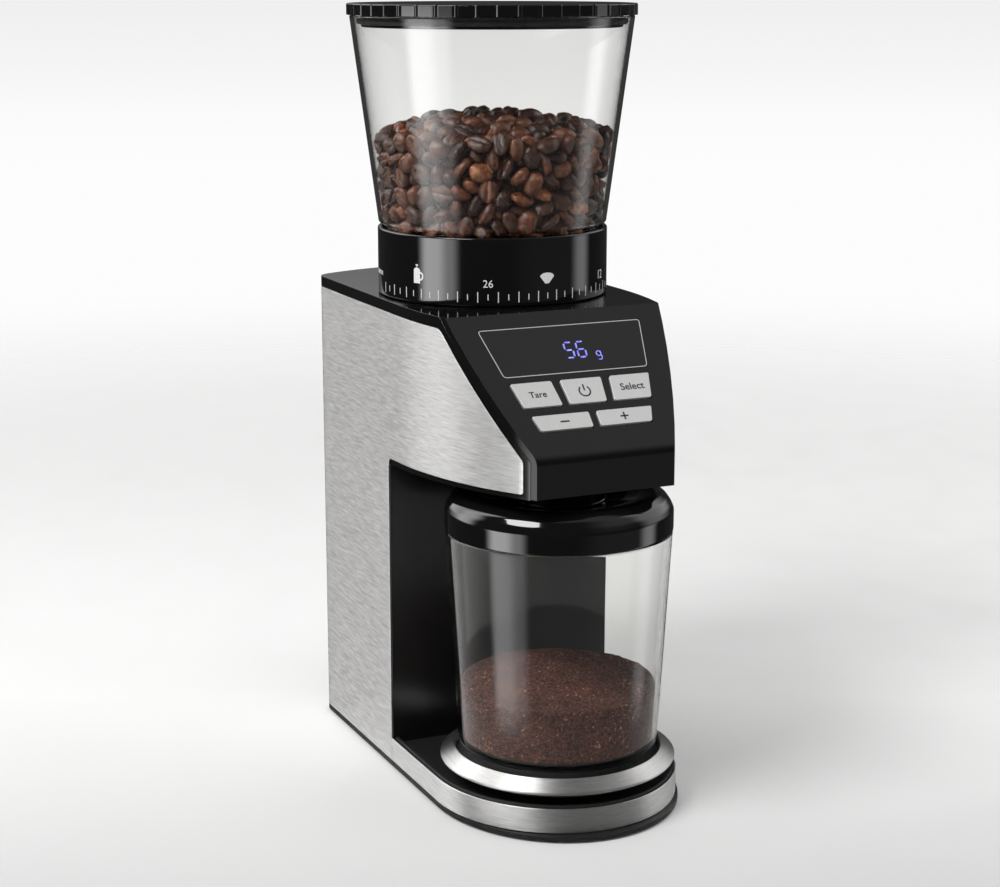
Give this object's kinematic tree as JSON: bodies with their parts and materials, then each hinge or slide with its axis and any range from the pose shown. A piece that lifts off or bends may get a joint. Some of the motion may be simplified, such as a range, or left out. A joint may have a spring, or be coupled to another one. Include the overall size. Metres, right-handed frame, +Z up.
{
  "type": "burr coffee grinder",
  "caption": "Upright conical burr coffee grinder: clear bean hopper, grind collar, sloping display panel and a lidded cup on a weighing platform.",
  "frame": {"origin": "on the surface the grinder stands on, under the middle of its bounding box", "axes": "+Z up, the control panel and cup face -Y, +X to the user's right"},
  "size_m": [0.1452, 0.248, 0.39],
  "materials": {
    "satin_black": "satin moulded plastic",
    "gloss_black": "polished black plastic",
    "display_glass": "dark tinted window",
    "brushed_steel": "brushed stainless steel",
    "clear_plastic": "clear polished plastic",
    "key_silver": "silver-painted keys with printed legends",
    "rubber_black": "matt rubber",
    "machined_steel": "machined steel",
    "cell_aluminium": "machined aluminium",
    "moulded_grey": "moulded engineering plastic",
    "acetal": "natural acetal",
    "board_green": "solder-masked circuit board"
  },
  "bodies": {
    "housing": {"base_plinth": "satin_black", "base_tray": "satin_black", "scale_pedestal": "satin_black", "rear_cover": "satin_black", "chute_nozzle": "satin_black", "column_shell": "gloss_black", "head_shell": "gloss_black", "top_plate": "gloss_black", "control_panel": "gloss_black", "display_window": "display_glass", "base_band": "brushed_steel", "scale_ring": "brushed_steel", "side_panel_left": "brushed_steel", "side_panel_right": "brushed_steel", "foot_1": "rubber_black", "foot_2": "rubber_black", "foot_3": "rubber_black", "foot_4": "rubber_black", "scale_pad": "rubber_black", "cord_gland": "rubber_black", "button_mat": "rubber_black", "base_screw_1": "machined_steel", "base_screw_2": "machined_steel", "base_screw_3": "machined_steel", "base_screw_4": "machined_steel", "motor": "machined_steel", "idler_axle": "machined_steel", "shaft_bearing_lower": "machined_steel", "shaft_bearing_upper": "machined_steel", "load_cell": "cell_aluminium", "display_module": "moulded_grey", "gearbox_case": "moulded_grey", "gearbox_lid": "moulded_grey", "grind_chamber": "moulded_grey", "grounds_chute": "moulded_grey", "display_board": "board_green", "main_board": "board_green"},
    "collar": {"grind_ring": "gloss_black"},
    "burr_sleeve": {"burr_carrier": "moulded_grey", "ring_burr": "machined_steel"},
    "bean_bin": {"hopper": "clear_plastic", "hopper_base": "satin_black"},
    "bin_lid": {"hopper_lid": "gloss_black", "lid_seal": "rubber_black"},
    "burr_rotor": {"drive_shaft": "machined_steel", "drive_gear": "acetal", "cone_burr": "machined_steel", "burr_nut": "machined_steel", "sweep_disc": "acetal"},
    "idler": {"idler_gear": "acetal"},
    "motor_rotor": {"motor_shaft": "machined_steel", "motor_pinion": "acetal"},
    "key_tare": {"button_tare": "key_silver"},
    "key_power": {"button_power": "key_silver"},
    "key_select": {"button_select": "key_silver"},
    "key_minus": {"button_minus": "key_silver"},
    "key_plus": {"button_plus": "key_silver"},
    "grounds_cup": {"cup": "clear_plastic"},
    "cup_cover": {"cup_lid": "gloss_black"}
  },
  "joints": [
    {"name": "grind_adjust", "type": "hinge", "parent": "housing", "child": "collar", "pos_m": [0, 0.018, 0.262], "axis": [0, 0, 1], "range_deg": [-118, 69]},
    {"name": "burr_height", "type": "slide", "parent": "housing", "child": "burr_sleeve", "axis": [0, 0, 1], "range_m": [-0.00099, 0.00058]},
    {"name": "hopper_lift", "type": "slide", "parent": "collar", "child": "bean_bin", "axis": [0, 0, 1], "range_m": [0, 0.08]},
    {"name": "hopper_lid_lift", "type": "slide", "parent": "bean_bin", "child": "bin_lid", "axis": [0, 0, 1], "range_m": [0, 0.05]},
    {"name": "burr_spin", "type": "hinge", "parent": "housing", "child": "burr_rotor", "pos_m": [0, 0.018, 0.2], "axis": [0, 0, 1], "continuous": true},
    {"name": "idler_spin", "type": "hinge", "parent": "housing", "child": "idler", "pos_m": [0.01012, 0.04424, 0.178], "axis": [0, 0, 1], "continuous": true},
    {"name": "motor_spin", "type": "hinge", "parent": "housing", "child": "motor_rotor", "pos_m": [0, 0.066, 0.17], "axis": [0, 0, 1], "continuous": true},
    {"name": "press_tare", "type": "slide", "parent": "housing", "child": "key_tare", "axis": [0, 0.7193, -0.6947], "range_m": [0, 0.0008], "stiffness_N_per_m": 600},
    {"name": "press_power", "type": "slide", "parent": "housing", "child": "key_power", "axis": [0, 0.7193, -0.6947], "range_m": [0, 0.0008], "stiffness_N_per_m": 600},
    {"name": "press_select", "type": "slide", "parent": "housing", "child": "key_select", "axis": [0, 0.7193, -0.6947], "range_m": [0, 0.0008], "stiffness_N_per_m": 600},
    {"name": "press_minus", "type": "slide", "parent": "housing", "child": "key_minus", "axis": [0, 0.7193, -0.6947], "range_m": [0, 0.0008], "stiffness_N_per_m": 600},
    {"name": "press_plus", "type": "slide", "parent": "housing", "child": "key_plus", "axis": [0, 0.7193, -0.6947], "range_m": [0, 0.0008], "stiffness_N_per_m": 600},
    {"name": "cup_slide", "type": "slide", "parent": "housing", "child": "grounds_cup", "axis": [0, -1, 0], "range_m": [0, 0.13]},
    {"name": "cup_lid_lift", "type": "slide", "parent": "grounds_cup", "child": "cup_cover", "axis": [0, 0, 1], "range_m": [0, 0.001]}
  ],
  "couplings": [
    {"joint": "burr_height", "follows": "grind_adjust", "m_per_rad": 0.00048},
    {"joint": "idler_spin", "follows": "burr_spin", "ratio": -3.0909},
    {"joint": "motor_spin", "follows": "burr_spin", "ratio": 9.2727}
  ]
}
